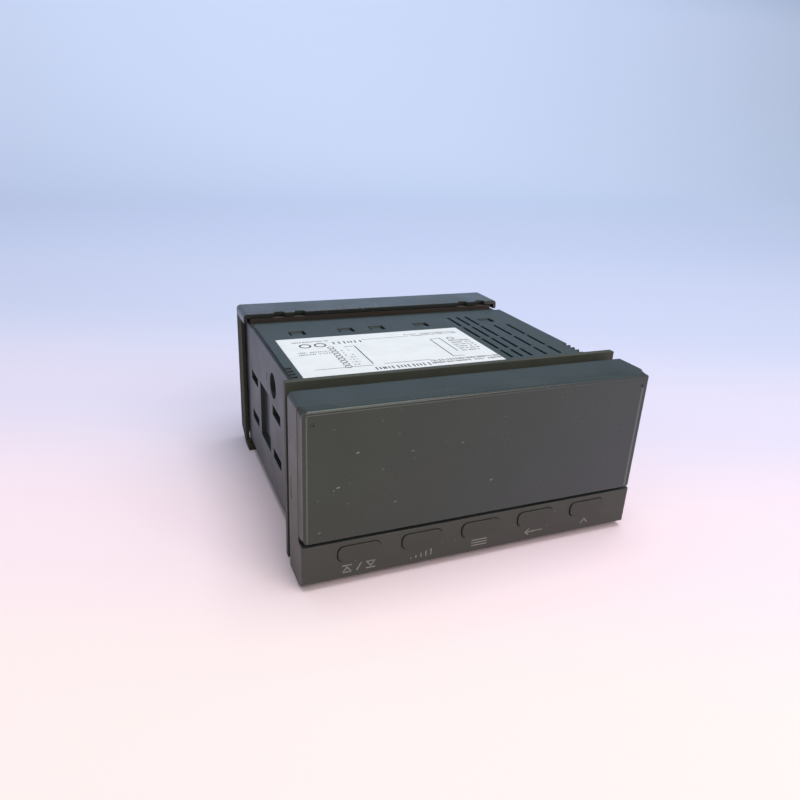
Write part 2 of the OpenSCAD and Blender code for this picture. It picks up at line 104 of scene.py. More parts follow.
def dust_and_sheen_on_top(tree, place, surface, clouds, tone, dust, dust_and_sheen_share):
    """A tone with patches of dust on its upward faces, which on the bezel also paint a cool sheen, and a few
    specks of lint.
    """
    facing = add(tree, "ShaderNodeSeparateXYZ", {"Vector": surface.outputs["Normal"]})
    upward_share = add(tree, "ShaderNodeMapRange", {
        "Value": facing.outputs["Z"], "From Min": 0.4, "From Max": 1.0, "To Max": dust_and_sheen_share})
    patches = add(tree, "ShaderNodeMath", {0: upward_share.outputs["Result"], 1: clouds}, operation="MULTIPLY")
    dust_and_sheen_tone = add(tree, "ShaderNodeMix", {
        0: patches.outputs["Value"], 6: tone, 7: linear(dust)}, data_type="RGBA")
    lint = add(tree, "ShaderNodeTexVoronoi", {"Vector": place, "Scale": 1 / (LINT_MM * MM)})
    heart = add(tree, "ShaderNodeMapRange", {
        "Value": lint.outputs["Distance"], "From Min": 0.13, "From Max": 0.05, "To Max": 0.4})
    draw = add(tree, "ShaderNodeSeparateColor", {"Color": lint.outputs["Color"]})
    few = add(tree, "ShaderNodeMath", {0: draw.outputs["Red"], 1: 0.75}, operation="GREATER_THAN")
    specks = add(tree, "ShaderNodeMath", {
        0: heart.outputs["Result"], 1: few.outputs["Value"]}, operation="MULTIPLY")
    speckled = add(tree, "ShaderNodeMix", {
        0: specks.outputs["Value"], 6: dust_and_sheen_tone.outputs[2], 7: linear(LINT_GREY)}, data_type="RGBA")
    return speckled.outputs[2]


print("cells of the lint in mm:", LINT_MM)

# %% [markdown]
# Handling also rubs the edges pale. The corners could be worn down in the mesh,
# but all that the eye gets from it is a paler line, so it is left to the colour.
# A Bevel node finds the edges: there its rounded normal leaves the true one,
# and a noise breaks the rubbed line up, as wear is never even.

# %% Rubbed edges of a moulding
# Sizes in mm: how wide an edge is rubbed, and how long a rubbed stretch is.
RUBBED_MM, STRETCH_MM = 0.35, 5


def rubbed_edges(tree, place, surface):
    """Share of wear at each spot: broken lines along the edges."""
    rounded_off = add(tree, "ShaderNodeBevel", {"Radius": RUBBED_MM * MM}, samples=4)
    turned = add(tree, "ShaderNodeVectorMath", {
        0: rounded_off.outputs["Normal"], 1: surface.outputs["Normal"]}, operation="DOT_PRODUCT")
    edges = add(tree, "ShaderNodeMapRange", {
        "Value": turned.outputs["Value"], "From Min": 0.99, "From Max": 0.8, "To Max": 0.75})
    breaks = add(tree, "ShaderNodeTexNoise", {
        "Vector": place, "Scale": 1 / (STRETCH_MM * MM), "Detail": 4.0, "Roughness": 0.7})
    stretches = add(tree, "ShaderNodeMapRange", {
        "Value": breaks.outputs["Fac"], "From Min": 0.36, "From Max": 0.62})
    wear = add(tree, "ShaderNodeMath", {
        0: edges.outputs["Result"], 1: stretches.outputs["Result"]}, operation="MULTIPLY")
    return wear.outputs["Value"]


print("edges rubbed over", RUBBED_MM, "mm, in stretches of", STRETCH_MM, "mm")

# %% [markdown]
# The plastic itself has a fine spark-eroded grain from the mould and faint cloudy changes of gloss.
# One recipe serves every moulding, so they look like one family: grain drives the bump,
# and clouds drive colour and roughness. Below some height a moulding may also be made dull, with its colour
# darkened as painted shade.

# %% Recipe for a moulded plastic
CLOUD_MM = 14
# Dark colour painted below the height as shade, and the roughness that makes it dull.
PAINTED_SHADE_TONE, DULL_ROUGH = "#322f22", 0.9


def moulded_plastic(name, deep, pale, dust, worn, rough, grain_mm, grain_depth_mm, dust_and_sheen_share,
                    shade_and_dull_below=None):
    """Moulded plastic with grain, clouds of gloss, dust and wear; dull with painted shade below an optional
    height in m.
    """
    material, tree = new_material(name)
    place = add(tree, "ShaderNodeTexCoord").outputs["Object"]
    surface = add(tree, "ShaderNodeNewGeometry")
    grain = add(tree, "ShaderNodeTexNoise", {
        "Vector": place, "Scale": 1 / (grain_mm * MM), "Detail": 2.0, "Roughness": 0.6})
    clouds = add(tree, "ShaderNodeTexNoise", {
        "Vector": place, "Scale": 1 / (CLOUD_MM * MM), "Detail": 4.0, "Roughness": 0.55}).outputs["Fac"]
    tone = add(tree, "ShaderNodeMix", {0: clouds, 6: linear(deep), 7: linear(pale)}, data_type="RGBA")
    # Dust on the upward faces; on the bezel its pale blue also paints a cool sheen of reflected light.
    soiled = dust_and_sheen_on_top(tree, place, surface, clouds, tone.outputs[2], dust, dust_and_sheen_share)
    wear = rubbed_edges(tree, place, surface)
    colour = add(tree, "ShaderNodeMix", {0: wear, 6: soiled, 7: linear(worn)}, data_type="RGBA").outputs[2]
    roughness = add(tree, "ShaderNodeMapRange", {
        "Value": clouds, "From Min": 0.3, "From Max": 0.7,
        "To Min": rough - 0.05, "To Max": rough + 0.06}).outputs["Result"]
    # Below the height the colour is darkened as painted shade, and the surface is made dull.
    if shade_and_dull_below is not None:
        height = add(tree, "ShaderNodeSeparateXYZ", {"Vector": place}).outputs["Z"]
        under = add(tree, "ShaderNodeMath", {
            0: height, 1: shade_and_dull_below}, operation="LESS_THAN").outputs["Value"]
        colour = add(tree, "ShaderNodeMix", {
            0: under, 6: colour, 7: linear(PAINTED_SHADE_TONE)}, data_type="RGBA").outputs[2]
        roughness = add(tree, "ShaderNodeMix", {0: under, 2: roughness, 3: DULL_ROUGH}).outputs[0]
    relief = add(tree, "ShaderNodeBump", {
        "Height": grain.outputs["Fac"], "Strength": 1.0, "Distance": grain_depth_mm * MM})
    shader = add(tree, "ShaderNodeBsdfPrincipled", {
        "Base Color": colour, "Roughness": roughness, "IOR": 1.55, "Normal": relief.outputs["Normal"]})
    add(tree, "ShaderNodeOutputMaterial", {"Surface": shader.outputs["BSDF"]})
    return material


print("clouds of gloss in mm:", CLOUD_MM)

# %% [markdown]
# Four mouldings use the recipe. They differ in tone, gloss and grain, as parts from different moulds do,
# so the numbers say how each one looks: the grain's width and depth are in mm.
# The real grain is too fine to show in the render, so it is drawn as coarse as it needs to show.

# %% Moulded plastics of the housing
# Dark grey ABS of the case: satin, so the faces seen at a flat angle pick up the pale room.
case_abs = moulded_plastic(
    "textured_abs_case", "#22292a", "#2c3434", "#8f9896", "#555c5c", 0.41, 0.35, 0.010, 0.07)
# Dark grey ABS of the bezel: the same family with a finer grain and a touch warmer; its pale blue dust
# paints a cool sheen on top.
bezel_abs = moulded_plastic(
    "fine_abs_bezel", "#2a2d27", "#343730", "#7f96ba", "#5f605c", 0.43, 0.3, 0.006, 0.08)
# Black glass-filled nylon of the adapter: deeper than the case, with a flowing sheen on the top wall
# and its flanges, while the bars below them are dull and darkened, a painted shade on them.
FLANGE_H = 3.0
flange_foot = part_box("mounting_adapter")[1].z - FLANGE_H * MM
adapter_nylon = moulded_plastic(
    "filled_nylon_adapter", "#242828", "#2e3333", "#8c9090", "#4c5050", 0.3, 0.45, 0.008, 0.07,
    shade_and_dull_below=flange_foot)
# Black polyester of the terminal block: matt, with a coarse grain.
terminal_polyester = moulded_plastic(
    "black_polyester_terminals", "#2c241e", "#372e27", "#77787a", "#4c443d", 0.52, 0.5, 0.01, 0.04)
print("moulded plastics:", [m.name for m in (case_abs, bezel_abs, adapter_nylon, terminal_polyester)])

# %% [markdown]
# The window has been wiped and scratched: a few short pale scratches and specks of dust lie on it.
# Each could be a slip of mesh, but a pattern covers the whole face at no cost.
# The scratches are cells of a flat Voronoi pattern squeezed to slivers, and the random colour of each
# cell drops most of them and sets how pale the others are. The specks are the same pattern left round.
# More of both are kept to the left, where a hand holds the meter.

# %% Marks on the window
# Cells in mm: long, slanting ones for the scratches and square ones for the specks.
SCRATCH_LONG, SCRATCH_SHORT, SCRATCH_SLANT = 6.5, 2.2, math.radians(-12)
SPECK_CELL = 4
# Where marks are frequent and where they have become rare, in mm from the middle of the meter.
FREQUENT_X, RARE_X = -46, -10
ON_FRONT = math.radians(90)


def window_marks(tree, place, x):
    """Share of pale mark at each spot: scratches and specks, more of them to the left."""
    across = add(tree, "ShaderNodeMapRange", {
        "Value": x, "From Min": FREQUENT_X * MM, "From Max": RARE_X * MM})
    slanting = add(tree, "ShaderNodeMapping", {
        "Vector": place, "Rotation": (ON_FRONT, SCRATCH_SLANT, 0.0),
        "Scale": (SCRATCH_LONG * MM, SCRATCH_SHORT * MM, 1.0)}, vector_type="TEXTURE")
    level = add(tree, "ShaderNodeMapping", {
        "Vector": place, "Rotation": (ON_FRONT, 0.0, 0.0),
        "Scale": (SPECK_CELL * MM, SPECK_CELL * MM, 1.0)}, vector_type="TEXTURE")
    faint = []
    # Rim and heart of a mark as shares of its cell, how pale it is at most, and which cells keep theirs
    for spread, rim, heart, palest, least_left, least_right in (
            (slanting, 0.085, 0.045, 1.0, 0.88, 0.982), (level, 0.06, 0.03, 0.45, 0.72, 0.968)):
        cells = add(tree, "ShaderNodeTexVoronoi", {
            "Vector": spread.outputs["Vector"], "Scale": 1.0}, voronoi_dimensions="2D")
        shape = add(tree, "ShaderNodeMapRange", {
            "Value": cells.outputs["Distance"], "From Min": rim, "From Max": heart, "To Max": palest})
        draw = add(tree, "ShaderNodeSeparateColor", {"Color": cells.outputs["Color"]})
        least = add(tree, "ShaderNodeMapRange", {
            "Value": across.outputs["Result"], "To Min": least_left, "To Max": least_right})
        kept = add(tree, "ShaderNodeMath", {
            0: draw.outputs["Red"], 1: least.outputs["Result"]}, operation="GREATER_THAN")
        paleness = add(tree, "ShaderNodeMath", {
            0: kept.outputs["Value"], 1: draw.outputs["Blue"]}, operation="MULTIPLY")
        faint.append(add(tree, "ShaderNodeMath", {
            0: paleness.outputs["Value"], 1: shape.outputs["Result"]}, operation="MULTIPLY"))
    marks = add(tree, "ShaderNodeMath", {
        0: faint[0].outputs["Value"], 1: faint[1].outputs["Value"]}, operation="MAXIMUM")
    return marks.outputs["Value"]


print("cells of the scratches in mm:", SCRATCH_LONG, "by", SCRATCH_SHORT)

# %% [markdown]
# The window is a smoked acrylic block with polished faces. It mirrors the room softly.
# It could be a clear glass shader over a dark inside, but this smoke lets nothing through,
# so a deep colour under a polished surface gives the same look and renders faster.
# Wiping leaves cloudy smears, which change the roughness a little, and to the right a cooler colour paints
# the reflection of the blue backdrop.

# %% Smoked window acrylic
SMEAR_MM = 22
MARK_GREY = "#a3a49d"
# Where the painted cool reflection starts and where it is strongest, in mm from the middle of the meter.
WARM_X, COOL_X = -36, 46


def smoked_acrylic(name, deep, pale, cool):
    """Smoked acrylic: deep grey, polished, with wiped smears, specks, short scratches and a painted cool
    reflection to the right.
    """
    material, tree = new_material(name)
    place = add(tree, "ShaderNodeTexCoord").outputs["Object"]
    x = add(tree, "ShaderNodeSeparateXYZ", {"Vector": place}).outputs["X"]
    smears = add(tree, "ShaderNodeTexNoise", {
        "Vector": place, "Scale": 1 / (SMEAR_MM * MM), "Detail": 9.0, "Roughness": 0.72}).outputs["Fac"]
    wiped = add(tree, "ShaderNodeMapRange", {
        "Value": smears, "From Min": 0.25, "From Max": 0.8,
        "To Min": 0.21, "To Max": 0.31}, interpolation_type="SMOOTHSTEP")
    tone = add(tree, "ShaderNodeMix", {0: smears, 6: linear(deep), 7: linear(pale)}, data_type="RGBA")
    far = add(tree, "ShaderNodeMapRange", {
        "Value": x, "From Min": WARM_X * MM, "From Max": COOL_X * MM, "To Max": 0.7})
    reflection_cooled = add(tree, "ShaderNodeMix", {
        0: far.outputs["Result"], 6: tone.outputs[2], 7: linear(cool)}, data_type="RGBA")
    marked = add(tree, "ShaderNodeMix", {
        0: window_marks(tree, place, x), 6: reflection_cooled.outputs[2], 7: linear(MARK_GREY)}, data_type="RGBA")
    shader = add(tree, "ShaderNodeBsdfPrincipled", {
        "Base Color": marked.outputs[2], "Roughness": wiped.outputs["Result"], "IOR": 1.49})
    add(tree, "ShaderNodeOutputMaterial", {"Surface": shader.outputs["BSDF"]})
    return material


# Smoked acrylic of the window: nearly black, with a soft mirror that picks up the pale floor.
window_acrylic = smoked_acrylic("smoked_acrylic_window", "#232b26", "#323933", "#333b43")
# The same acrylic on the bead, painted a shade paler as the highlight along it.
bead_highlight_acrylic = smoked_acrylic("smoked_acrylic_bead_highlight", "#4f5653", "#5a615e", "#565e60")
print("window and bead:", window_acrylic.name, bead_highlight_acrylic.name)

# %% [markdown]
# Rubber is matt and slightly mottled. The keys are a dense silicone with a smooth skin,
# and the gasket is a softer, browner rubber with a coarse skin.
# Plain roughness alone would look like dull plastic, so a mottle changes both tone and gloss.

# %% Rubbers of the keys and the gasket
MOTTLE_MM = 6


def pressed_rubber(name, deep, pale, rough, skin_mm, skin_depth_mm):
    """Matt rubber with a mottled tone and a fine skin."""
    material, tree = new_material(name)
    place = add(tree, "ShaderNodeTexCoord").outputs["Object"]
    skin = add(tree, "ShaderNodeTexNoise", {
        "Vector": place, "Scale": 1 / (skin_mm * MM), "Detail": 3.0, "Roughness": 0.6})
    mottle = add(tree, "ShaderNodeTexNoise", {
        "Vector": place, "Scale": 1 / (MOTTLE_MM * MM), "Detail": 3.0, "Roughness": 0.6})
    tone = add(tree, "ShaderNodeMix", {
        0: mottle.outputs["Fac"], 6: linear(deep), 7: linear(pale)}, data_type="RGBA")
    gloss = add(tree, "ShaderNodeMapRange", {
        "Value": mottle.outputs["Fac"], "From Min": 0.3, "From Max": 0.7,
        "To Min": rough - 0.06, "To Max": rough + 0.06})
    relief = add(tree, "ShaderNodeBump", {
        "Height": skin.outputs["Fac"], "Strength": 1.0, "Distance": skin_depth_mm * MM})
    shader = add(tree, "ShaderNodeBsdfPrincipled", {
        "Base Color": tone.outputs[2], "Roughness": gloss.outputs["Result"],
        "IOR": 1.5, "Normal": relief.outputs["Normal"]})
    add(tree, "ShaderNodeOutputMaterial", {"Surface": shader.outputs["BSDF"]})
    return material


# Silicone keys: as dark as the bezel and a little duller.
key_silicone = pressed_rubber("silicone_keys", "#2c2e28", "#363832", 0.44, 0.4, 0.006)
# Gasket rubber: brown-black and dull.
gasket_rubber = pressed_rubber("brown_black_gasket_rubber", "#373931", "#43453d", 0.6, 0.6, 0.012)
print("rubbers:", key_silicone.name, gasket_rubber.name)

# %% [markdown]
# The label is a white polyester film. It is nearly smooth, with a satin coat,
# and its white is broken by faint grey handling marks.
# The two inks are thin and dull: a charcoal one on the label, and a pale grey one on the bezel.
# Film and ink are both thin coats, so one recipe with a soft change of tone makes them all.

# %% Film and inks
def printed_film(name, clean, soiled, rough, mark_mm):
    """Thin satin film or ink whose tone changes a little from place to place."""
    material, tree = new_material(name)
    place = add(tree, "ShaderNodeTexCoord").outputs["Object"]
    marks = add(tree, "ShaderNodeTexNoise", {
        "Vector": place, "Scale": 1 / (mark_mm * MM), "Detail": 4.0, "Roughness": 0.6})
    share = add(tree, "ShaderNodeMapRange", {
        "Value": marks.outputs["Fac"], "From Min": 0.42, "From Max": 0.75})
    tone = add(tree, "ShaderNodeMix", {
        0: share.outputs["Result"], 6: linear(clean), 7: linear(soiled)}, data_type="RGBA")
    gloss = add(tree, "ShaderNodeMapRange", {
        "Value": marks.outputs["Fac"], "To Min": rough - 0.08, "To Max": rough + 0.08})
    shader = add(tree, "ShaderNodeBsdfPrincipled", {
        "Base Color": tone.outputs[2], "Roughness": gloss.outputs["Result"], "IOR": 1.57})
    add(tree, "ShaderNodeOutputMaterial", {"Surface": shader.outputs["BSDF"]})
    return material


# White polyester film: the brightest thing on the meter, with a satin sheen.
label_film = printed_film("white_polyester_label", "#edf0f3", "#e4e7ea", 0.42, 9)
# Charcoal ink: dull, and never quite black.
label_ink = printed_film("charcoal_label_ink", "#2e2e33", "#4c4c52", 0.6, 3)
# Pale grey ink: the signs are easy to read and still quiet.
legend_ink = printed_film("pale_grey_legend_ink", "#868580", "#66655f", 0.6, 2)
print("film and inks:", label_film.name, label_ink.name, legend_ink.name)

# %% [markdown]
# The terminals are metal: tinned brass plates and zinc-plated steel screws.
# A plated metal is a mirror blurred by fine scratches, so a stretched noise changes its roughness
# and the colour of the metal itself tints what it reflects.
# Scratches could be cut as bump too, but at this size only the blur shows.

# %% Plated metals
TARNISH_MM = 3
SCRATCH_STRETCH = 12


def plated_metal(name, bright, dull, rough, scratch_mm):
    """Plated metal with fine scratches and cloudy tarnish."""
    material, tree = new_material(name)
    place = add(tree, "ShaderNodeTexCoord").outputs["Object"]
    fine, stretched = 1 / (scratch_mm * MM), 1 / (SCRATCH_STRETCH * scratch_mm * MM)
    drawn = add(tree, "ShaderNodeMapping", {"Vector": place, "Scale": (fine, fine, stretched)})
    scratches = add(tree, "ShaderNodeTexNoise", {
        "Vector": drawn.outputs["Vector"], "Scale": 1.0, "Detail": 2.0, "Roughness": 0.6})
    tarnish = add(tree, "ShaderNodeTexNoise", {
        "Vector": place, "Scale": 1 / (TARNISH_MM * MM), "Detail": 3.0, "Roughness": 0.6})
    tone = add(tree, "ShaderNodeMix", {
        0: tarnish.outputs["Fac"], 6: linear(bright), 7: linear(dull)}, data_type="RGBA")
    gloss = add(tree, "ShaderNodeMapRange", {
        "Value": scratches.outputs["Fac"], "From Min": 0.3, "From Max": 0.7,
        "To Min": rough - 0.08, "To Max": rough + 0.1})
    shader = add(tree, "ShaderNodeBsdfPrincipled", {
        "Base Color": tone.outputs[2], "Roughness": gloss.outputs["Result"], "Metallic": 1.0})
    add(tree, "ShaderNodeOutputMaterial", {"Surface": shader.outputs["BSDF"]})
    return material


# Tinned brass of the plates: a warm, pale grey with a soft mirror.
tinned_brass = plated_metal("tinned_brass_plates", "#c9c4b2", "#a39d88", 0.34, 0.12)
# Zinc-plated steel of the screws: cooler and a little brighter than the plates.
zinc_steel = plated_metal("zinc_plated_screws", "#c6c7c6", "#a4a49c", 0.3, 0.1)
# Lacquered steel of the transformer's core: dark, brown and dull.
core_steel = plated_metal("lacquered_core_steel", "#6f6a62", "#524d46", 0.5, 0.35)
print("metals:", tinned_brass.name, zinc_steel.name, core_steel.name)

# %% [markdown]
# Inside the closed case nothing shows but a dark glimpse through the slots.
# The pieces there could share one black finish, but whoever opens the model should know them,
# so they get plain finishes of their own from the recipes above.
# Then every node gets its finish, in the material slot of its mesh.

# %% Finishes inside the case
# Lacquered laminate of the boards: deep green with a low gloss.
board_laminate = printed_film("green_lacquered_board", "#1f4a33", "#163a27", 0.4, 4)
# Display glass: a smooth, greenish dark grey.
display_glass = printed_film("grey_display_glass", "#3a3d38", "#31342f", 0.2, 8)
# Plastic sleeve of the capacitors and the relays: blue-black with a sheen.
dark_sleeve = printed_film("dark_blue_sleeve", "#1d2230", "#171b26", 0.35, 5)
KEYS = ("max_min_key", "level_key", "mode_key", "shift_key", "up_key")
finishes = {
    "front_bezel": bezel_abs, "display_window": window_acrylic, "rear_case": case_abs,
    "mounting_adapter": adapter_nylon, "terminal_block": terminal_polyester,
    "panel_gasket": gasket_rubber, "top_label": label_film, "terminal_plates": tinned_brass,
    "terminal_screws": zinc_steel, "key_switches": terminal_polyester,
    "lcd_panel": display_glass, "display_board": board_laminate, "main_board": board_laminate,
    "power_board": board_laminate, "transformer": core_steel, "relays": dark_sleeve,
    "capacitors": dark_sleeve}
finishes.update({name: key_silicone for name in KEYS})
for name, material in finishes.items():
    nodes[name].data.materials.clear()
    nodes[name].data.materials.append(material)
print("nodes with a finish:", len(finishes), "of", len(nodes))

# %% [markdown]
# A moulded edge is never knife sharp. Its small round catches a thin line of light,
# which is what makes a dark plastic box readable.
# The CAD faces are split into triangles, so a Weld joins them and a planar Decimate
# turns each flat side back into one face. Then a Bevel rounds the sharp edges,
# and Weighted Normal keeps the broad faces flat. All four stay live, so the solids themselves don't change.

# %% Soften the moulded edges
JOIN_MM = 0.002
FLAT_TURN, SHARP_TURN = math.radians(0.6), math.radians(40)


def soften(name, width_mm):
    """Live modifiers that round the sharp edges of a CAD node."""
    solid = nodes[name]
    weld = solid.modifiers.new("join_triangles", "WELD")
    weld.merge_threshold = JOIN_MM * MM
    flat = solid.modifiers.new("flat_faces", "DECIMATE")
    flat.decimate_type = "DISSOLVE"
    flat.angle_limit = FLAT_TURN
    rounding = solid.modifiers.new("edge_rounding", "BEVEL")
    rounding.width = width_mm * MM
    rounding.segments = 2
    rounding.limit_method = "ANGLE"
    rounding.angle_limit = SHARP_TURN
    rounding.use_clamp_overlap = False
    solid.modifiers.new("even_normals", "WEIGHTED_NORMAL")


# Width of the rounding in mm.
softened = {"front_bezel": 0.07, "display_window": 0.07, "rear_case": 0.12, "mounting_adapter": 0.16,
            "panel_gasket": 0.12, "terminal_block": 0.12, "terminal_plates": 0.1}
softened.update({name: 0.05 for name in KEYS})
for name, width in softened.items():
    soften(name, width)
print("softened nodes:", len(softened))

# %% [markdown]
# The printed marks are thin slips of ink that lie on the surface.
# An image could carry them, but it would blur close up, and this lesson uses none.
# A small kit builds them instead: a flat outline becomes a slip a few hundredths of a millimetre thick.

# %% Slips of ink
RIGHT, BACK, UP = Vector((1, 0, 0)), Vector((0, 1, 0)), Vector((0, 0, 1))
# A slip starts this far, in mm, inside the face that it lies on.
ROOT = 0.01


def slip(mesh, outline, across, up, low, thick):
    """Adds a flat outline in mm as a slip; across, up and low place it in the part's frame."""
    normal = across.cross(up)
    base = [mesh.verts.new((low + across * x + up * y) * MM) for x, y in outline]
    top = [mesh.verts.new(v.co + normal * thick * MM) for v in base]
    mesh.faces.new(top)
    mesh.faces.new(base[::-1])
    for i in range(len(base)):
        j = (i + 1) % len(base)
        mesh.faces.new((base[i], base[j], top[j], top[i]))


def object_from(mesh, name):
    """An object in the scene from a bmesh."""
    data = bpy.data.meshes.new(name)
    mesh.to_mesh(data)
    mesh.free()
    made = bpy.data.objects.new(name, data)
    bpy.context.scene.collection.objects.link(made)
    return made


def piece_from(mesh, name, material, body):
    """A finished piece from a bmesh: normals outwards, one material, riding on a body."""
    bmesh.ops.recalc_face_normals(mesh, faces=mesh.faces)
    made = object_from(mesh, name)
    made.data.materials.append(material)
    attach(made, body)
    return made


def bar(x, y, wide, tall):
    """Outline of a bar round its middle."""
    return [(x - wide / 2, y - tall / 2), (x + wide / 2, y - tall / 2),
            (x + wide / 2, y + tall / 2), (x - wide / 2, y + tall / 2)]


print("corners of a bar in mm:", bar(0, 0, 4, 2))

# %% [markdown]
# The signs under the keys are line drawings. A curve with a round bevel could draw them, but ink is flat.
# So a stroke function turns a few points into an outline of one width,
# which is shorter than listing the corners of every arrow head.

# %% Lines of one width
def stroke(points, wide):
    """Open line through some points as an outline of one width, with mitred corners."""
    sides = []
    for i, point in enumerate(points):
        here = Vector(point)
        before = (here - Vector(points[i - 1])).normalized() if i else None
        after = (Vector(points[i + 1]) - here).normalized() if i + 1 < len(points) else None
        along = ((before or after) + (after or before)).normalized()
        reach = wide / 2 / max(0.4, along.dot(after or before))
        sides.append((here, Vector((-along.y, along.x)) * reach))
    return [tuple(p - off) for p, off in sides] + [tuple(p + off) for p, off in sides[::-1]]


def mirrored(outline):
    """An outline turned upside down, with its corners in the same sense."""
    return [(x, -y) for x, y in outline][::-1]


LINE = 0.3
tip = stroke([(-1.1, -1.0), (0, 0.45), (1.1, -1.0)], LINE)
print("corners of an arrow tip:", len(tip))

# %% [markdown]
# The signs stand for what each key does: both limits, level, menu, shift and up.
# Words could say it, but a sign is read in any language.
# Each one is drawn in mm round the middle of its key, and all of them become one piece of ink.

# %% Signs under the keys
LIMIT_X = 3.1
highest = [tip, bar(0, -1.0, 2.5, LINE), bar(0, 0.95, 2.5, LINE)]
limits = [[(x - LIMIT_X, y) for x, y in outline] for outline in highest]
limits.append(stroke([(-0.6, -1.05), (0.6, 1.05)], LINE))
limits += [[(x + LIMIT_X, y) for x, y in mirrored(outline)] for outline in highest]
levels = [0.4 + 0.4 * i for i in range(5)]
signs = {
    "max_min_key": limits,
    "level_key": [bar(-2.8 + 1.4 * i, -1.0 + tall / 2, LINE, tall) for i, tall in enumerate(levels)],
    "mode_key": [bar(0, 0.8 - 0.8 * i, 4.6, LINE) for i in range(3)],
    "shift_key": [stroke([(-1.4, -0.95), (-2.6, 0), (-1.4, 0.95)], LINE), bar(0.3, 0, 5.2, LINE)],
    "up_key": [stroke([(-1.1, -0.6), (0, 0.7), (1.1, -0.6)], LINE)],
}
SIGN_HEIGHT, SIGN_THICK = 4.7, 0.03
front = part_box("front_bezel")[0].y / MM
mesh = bmesh.new()
for name, outlines in signs.items():
    low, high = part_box(name)
    middle = Vector(((low.x + high.x) / 2 / MM, front + ROOT, SIGN_HEIGHT))
    for outline in outlines:
        slip(mesh, outline, RIGHT, UP, middle, SIGN_THICK)
key_signs = piece_from(mesh, "key_signs", legend_ink, "meter")
print("key signs:", len(key_signs.data.polygons), "faces")

# %% [markdown]
# A fine bead runs round three sides of the window, a little inside its edge.
# It could be a swept profile, but it only shows as a hair line, so three slips of a paler acrylic,
# a painted highlight, are enough. On the right, where the highlight is brighter, it is broader and stops
# below the dimple, and along the top, where the highlight is dimmer, it thins out.

# %% Bead on the window, with its painted highlight
window_low, window_high = (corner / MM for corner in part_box("display_window"))
left_x, right_x = window_low.x + 0.95, window_high.x - 1.8
top_z, right_z = window_high.z - 0.9, window_high.z - 3.8
bead_foot = window_low.z + 1.0
# Widths in mm: broad on the right, where the painted highlight is brighter, and a thread on top, where it is
# dimmer.
fine, broad, thread, bead_thick = 0.3, 0.65, 0.2, 0.04
left_bead = bar(left_x, (bead_foot + top_z) / 2, fine, top_z - bead_foot)
right_bead = bar(right_x, (bead_foot + right_z) / 2, broad, right_z - bead_foot)
top_bead = [(left_x, top_z - thread / 2), (right_x - broad / 2, top_z - thread / 10),
            (right_x - broad / 2, top_z + thread / 10), (left_x, top_z + thread / 2)]
mesh = bmesh.new()
for outline in (left_bead, right_bead, top_bead):
    slip(mesh, outline, RIGHT, UP, Vector((0, window_low.y + ROOT, 0)), bead_thick)
window_bead = piece_from(mesh, "window_bead", bead_highlight_acrylic, "meter")
print("bead on the window:", len(window_bead.data.polygons), "faces")

# %% [markdown]
# The window is glued in, and glue in the bezel's own grey fills the seam behind it across the top
# and down both sides. It is drawn out over the window to nothing, so bezel and window meet without a step.
# A curve with a profile would not taper, so four arches make it:
# the rim of the bezel, the edge of the window, and the same two a little further in.
# Faces join each arch to the next one, and a face closes each foot.

# %% Glue in the seam
def arch(wide, top, radius, foot):
    """Line up the right side, round both top corners and down the left side."""
    turns = [math.radians(a) for a in range(0, 91, 15)]
    bend = [(wide - radius + radius * math.cos(a), top - radius + radius * math.sin(a)) for a in turns]
    half = [(wide, foot)] + bend
    return half + [(-x, z) for x, z in half[::-1]]


# Sizes in mm: the seam, the corners' radii and the glue's depth, both at the rim and at the edge.
SEAM, RIM_R, EDGE_R, ROOT_DEEP, TOE_DEEP = 0.3, 1.2, 1.8, 0.6, 0.3
# How far the glue is tucked into the bezel and drawn out over the window, and a hair to keep faces apart.
TUCK, DRAWN_OUT, HAIR = 0.08, 2.4, 0.01
NEAR = 0.05
rim_y = window_high.y + SEAM
rim = [v.co / MM for v in nodes["front_bezel"].data.vertices if abs(v.co.y / MM - rim_y) < NEAR]
side = max(v.x for v in rim) - TUCK
crest = max(v.z for v in rim) - HAIR
edge_x, edge_z = window_high.x, window_high.z + HAIR
root_y, toe_y = rim_y + TUCK, rim_y - DRAWN_OUT
arches = [
    (arch(side, crest, RIM_R, bead_foot), root_y),
    (arch(edge_x, edge_z, EDGE_R, bead_foot), toe_y),
    (arch(edge_x - TOE_DEEP, window_high.z - TOE_DEEP, EDGE_R - TOE_DEEP, bead_foot), toe_y),
    (arch(side - ROOT_DEEP, crest - ROOT_DEEP, RIM_R - ROOT_DEEP, bead_foot), root_y)]
mesh = bmesh.new()
lines = [[mesh.verts.new(Vector((x, y, z)) * MM) for x, z in points] for points, y in arches]
for first, second in zip(lines, lines[1:] + lines[:1]):
    for i in range(len(first) - 1):
        mesh.faces.new((first[i], first[i + 1], second[i + 1], second[i]))
for end in (0, -1):
    mesh.faces.new([line[end] for line in lines])
seam_glue = piece_from(mesh, "seam_glue", bezel_abs, "meter")
print("glue:", len(seam_glue.data.polygons), "faces, crest in mm:", round(crest, 2))

# %% [markdown]
# Each key wears a soft cap that stands a little proud of the strip, with a dark gap round it.
# A block with a Bevel would do, but a stack of rounded outlines that draw in towards the front
# gives the soft edge directly. Each cap rides on the body of its own key.
# It sits a hair to the right and high, as loose keys do, so the gap is darkest at its left end.

# %% Caps on the keys
def rounded(x, z, wide, tall, radius):
    """Outline of a rounded rectangle round a point."""
    turns = [math.radians(a) for a in range(0, 91, 10)]
    quarter = [(radius * math.cos(a), radius * math.sin(a)) for a in turns]
    mid_x, mid_z = wide / 2 - radius, tall / 2 - radius
    right_top = [(mid_x + a, mid_z + b) for a, b in quarter]
    left_top = [(-mid_x - a, mid_z + b) for a, b in quarter[::-1]]
    half = right_top + left_top
    return [(x + a, z + b) for a, b in half + [(-a, -b) for a, b in half]]


